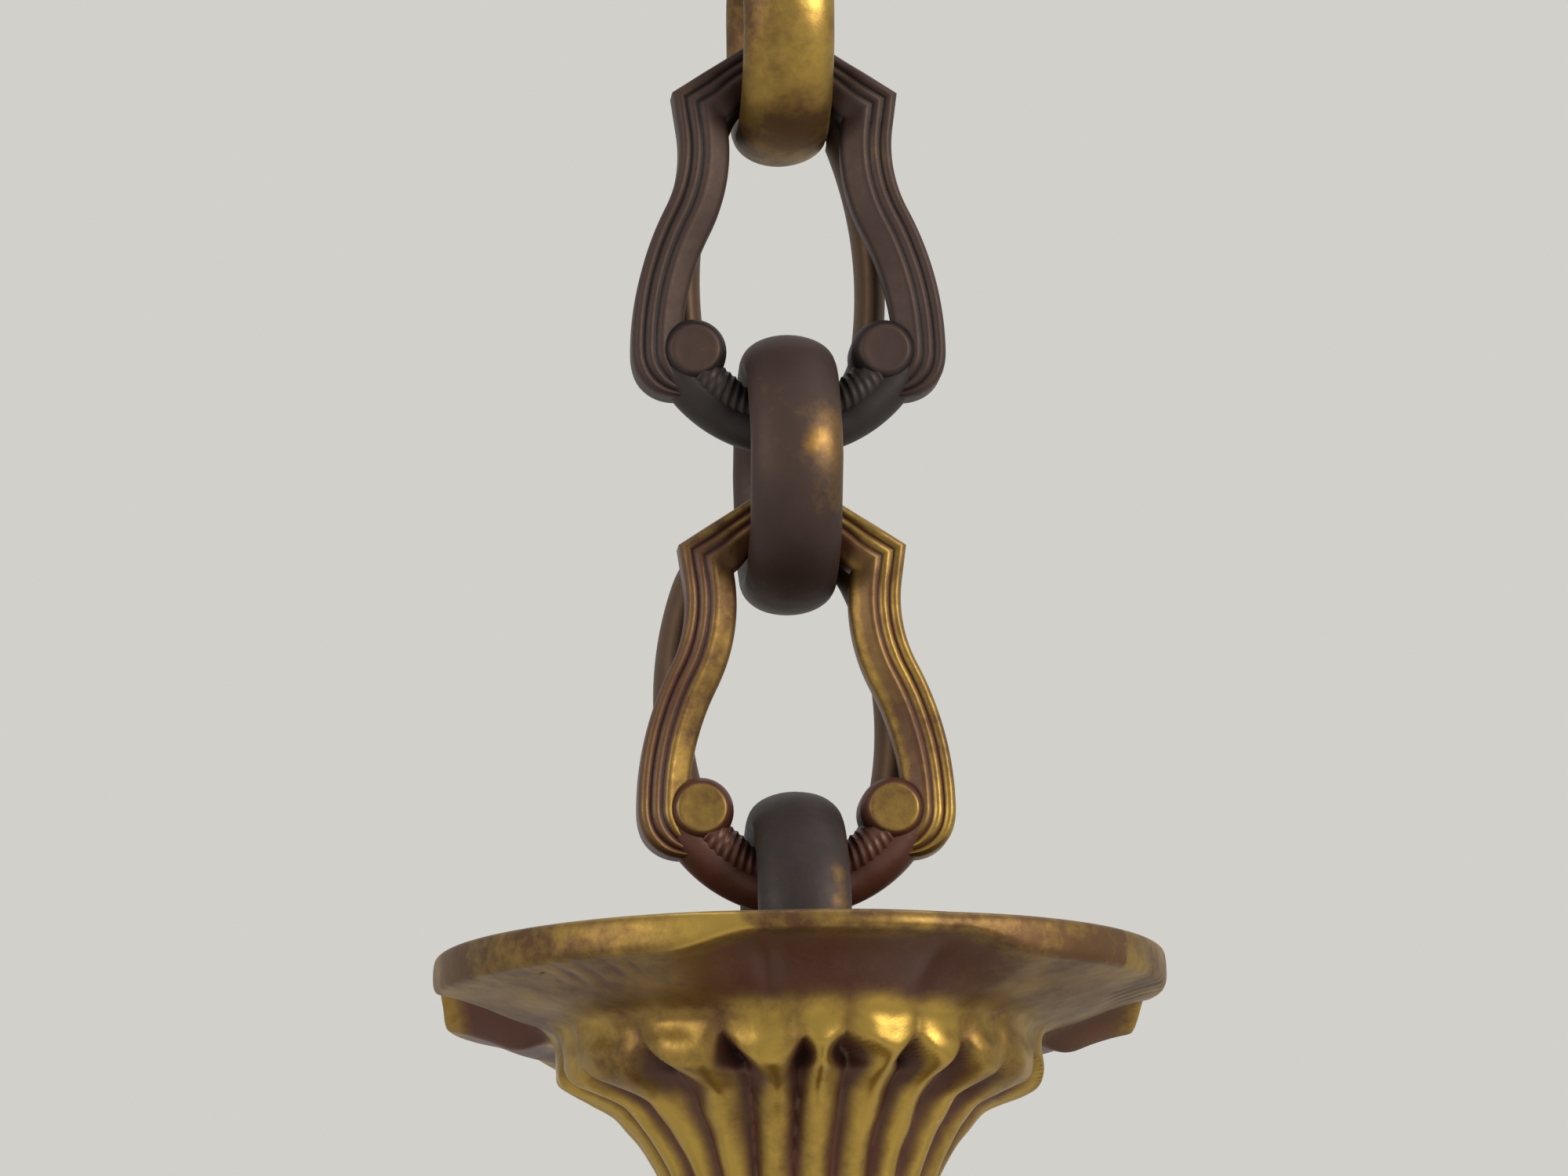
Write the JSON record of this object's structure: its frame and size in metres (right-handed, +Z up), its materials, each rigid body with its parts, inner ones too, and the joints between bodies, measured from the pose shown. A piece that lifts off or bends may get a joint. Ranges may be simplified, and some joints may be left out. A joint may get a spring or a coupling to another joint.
{
  "type": "chandelier",
  "caption": "Bronze chandelier hung on a chain of rings, scrolled lyre links and plain ovals over a lobed crown cup, with a fluted stem and scrolled candle arms.",
  "frame": {"origin": "middle of the ceiling plate's top face, where it meets the ceiling", "axes": "+Z up into the ceiling, -Y towards the viewer of the picture, +X to the viewer's right"},
  "size_m": [0.76, 0.6682, 0.6784],
  "materials": {
    "worn_gilt_bronze": "gilt bronze worn to brown in the hollows",
    "dark_patinated_bronze": "dark brown patina worn to metal on the high spots",
    "black_iron": "blackened"
  },
  "bodies": {
    "ceiling": {"ceiling_plate": "worn_gilt_bronze", "ceiling_hook": "dark_patinated_bronze", "hook_nut": "dark_patinated_bronze"},
    "ring_1": {"ring_1": "worn_gilt_bronze"},
    "link_1": {"lyre_1": "dark_patinated_bronze", "oval_1": "dark_patinated_bronze"},
    "ring_2": {"ring_2": "dark_patinated_bronze"},
    "link_2": {"lyre_2": "worn_gilt_bronze", "oval_2": "dark_patinated_bronze"},
    "ring_3": {"ring_3": "dark_patinated_bronze"},
    "chandelier": {"suspension_eye": "dark_patinated_bronze", "crown_cup": "worn_gilt_bronze", "tie_rod": "black_iron", "neck_collar": "worn_gilt_bronze", "baluster": "worn_gilt_bronze", "hub_collar": "worn_gilt_bronze", "arm_hub": "worn_gilt_bronze", "arm_screws": "black_iron", "lower_bowl": "worn_gilt_bronze", "finial": "worn_gilt_bronze", "arm_1": "worn_gilt_bronze", "drip_pan_1": "worn_gilt_bronze", "candle_nozzle_1": "worn_gilt_bronze", "arm_2": "worn_gilt_bronze", "drip_pan_2": "worn_gilt_bronze", "candle_nozzle_2": "worn_gilt_bronze", "arm_3": "worn_gilt_bronze", "drip_pan_3": "worn_gilt_bronze", "candle_nozzle_3": "worn_gilt_bronze", "arm_4": "worn_gilt_bronze", "drip_pan_4": "worn_gilt_bronze", "candle_nozzle_4": "worn_gilt_bronze", "arm_5": "worn_gilt_bronze", "drip_pan_5": "worn_gilt_bronze", "candle_nozzle_5": "worn_gilt_bronze", "arm_6": "worn_gilt_bronze", "drip_pan_6": "worn_gilt_bronze", "candle_nozzle_6": "worn_gilt_bronze"}
  },
  "joints": [
    {"name": "ring_1_swing", "type": "hinge", "parent": "ceiling", "child": "ring_1", "pos_m": [0, 0, -0.0735], "axis": [1, 0, 0], "range_deg": [-25, 25]},
    {"name": "link_1_swing", "type": "hinge", "parent": "ring_1", "child": "link_1", "pos_m": [0, 0, -0.1029], "axis": [0, 1, 0], "range_deg": [-12, 12]},
    {"name": "ring_2_swing", "type": "hinge", "parent": "link_1", "child": "ring_2", "pos_m": [0, 0, -0.16199], "axis": [1, 0, 0], "range_deg": [-25, 25]},
    {"name": "link_2_swing", "type": "hinge", "parent": "ring_2", "child": "link_2", "pos_m": [0, 0, -0.18099], "axis": [0, 1, 0], "range_deg": [-12, 12]},
    {"name": "ring_3_swing", "type": "hinge", "parent": "link_2", "child": "ring_3", "pos_m": [0, 0, -0.24009], "axis": [1, 0, 0], "range_deg": [-20, 20]},
    {"name": "chandelier_swing", "type": "hinge", "parent": "ring_3", "child": "chandelier", "pos_m": [0, 0, -0.25909], "axis": [0, 1, 0], "range_deg": [-12, 12]}
  ]
}
